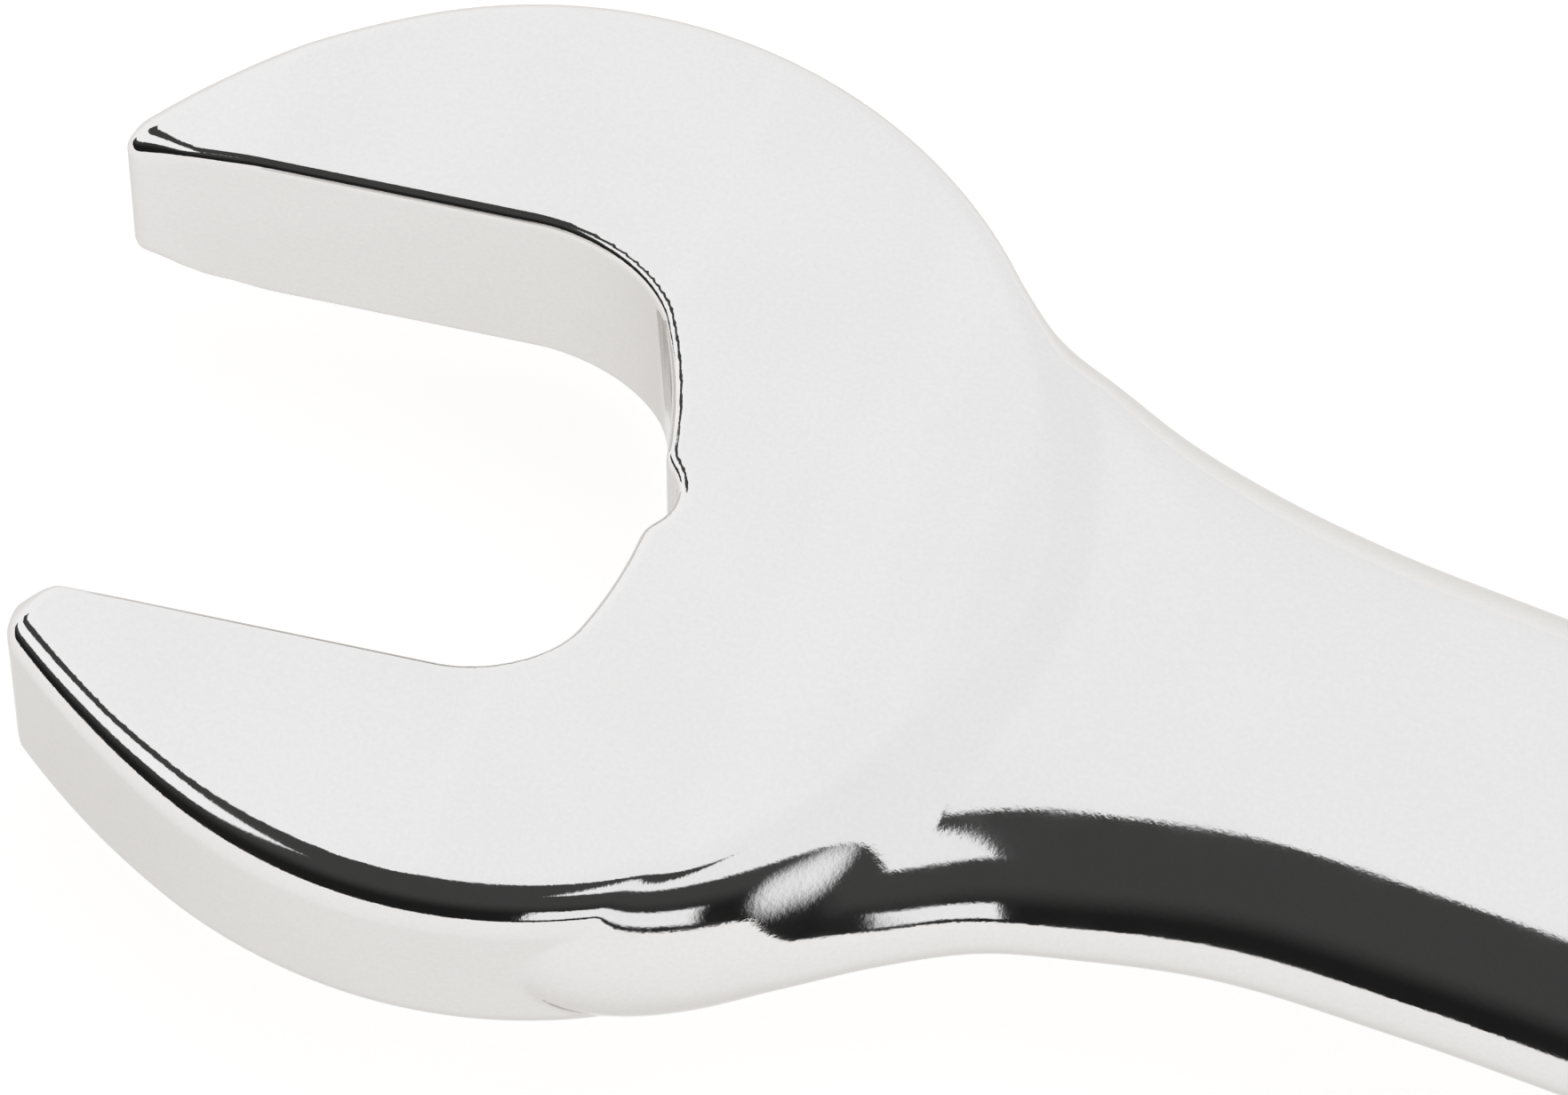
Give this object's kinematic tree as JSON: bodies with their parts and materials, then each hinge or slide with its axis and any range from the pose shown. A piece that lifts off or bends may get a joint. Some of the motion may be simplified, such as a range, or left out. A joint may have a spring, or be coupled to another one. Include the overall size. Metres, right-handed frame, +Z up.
{
  "type": "combination wrench",
  "caption": "Combination wrench with an open end and a reversible ratcheting ring end with a 12-point bore, joined by a tapered polished shank.",
  "frame": {"origin": "the middle of the wrench's outline seen from above, on the plane of the ring's lower face", "axes": "+X along the shank from the open end to the ring end, +Y across the wrench, +Z up out of the face with the reversing lever"},
  "size_m": [0.2498, 0.0398, 0.0134],
  "materials": {
    "polished_chrome": "mirror-polished chrome plate with a few fine pits",
    "satin_nickel": "satin nickel with turning marks",
    "bright_steel": "ground bright steel",
    "blackened_steel": "black oxide with an oily sheen",
    "hardened_steel": "heat-treated dark steel",
    "lever_chrome": "satin chrome",
    "seal_rubber": "smooth black nitrile"
  },
  "bodies": {
    "frame": {"wrench_body": "polished_chrome", "gear_washer": "bright_steel", "gear_retaining_ring": "blackened_steel", "gear_seal_top": "seal_rubber", "gear_seal_bottom": "seal_rubber", "pawl_pin": "bright_steel"},
    "gear": {"ratchet_gear": "satin_nickel"},
    "lever": {"reversing_lever": "lever_chrome", "lever_spring": "bright_steel", "lever_seal": "seal_rubber", "lever_clip": "blackened_steel"},
    "plunger": {"lever_plunger": "bright_steel"},
    "pawl": {"pawl": "hardened_steel"}
  },
  "joints": [
    {"name": "gear_spin", "type": "hinge", "parent": "frame", "child": "gear", "pos_m": [0.10574, 0, 0.0062], "axis": [0, 0, 1], "continuous": true},
    {"name": "lever_swing", "type": "hinge", "parent": "frame", "child": "lever", "pos_m": [0.08324, 0, 0.0062], "axis": [0, 0, 1], "range_deg": [0, 40]},
    {"name": "pawl_rock", "type": "hinge", "parent": "frame", "child": "pawl", "pos_m": [0.08914, 0, 0.0062], "axis": [0, 0, 1], "range_deg": [-12, 0]},
    {"name": "plunger_press", "type": "slide", "parent": "lever", "child": "plunger", "axis": [-0.9397, 0.342, 0], "range_m": [0, 0.0005], "stiffness_N_per_m": 500, "springref_m": -0.001, "deforming": ["lever_spring"]}
  ],
  "couplings": [
    {"joint": "pawl_rock", "follows": "lever_swing", "ratio": -0.3}
  ]
}
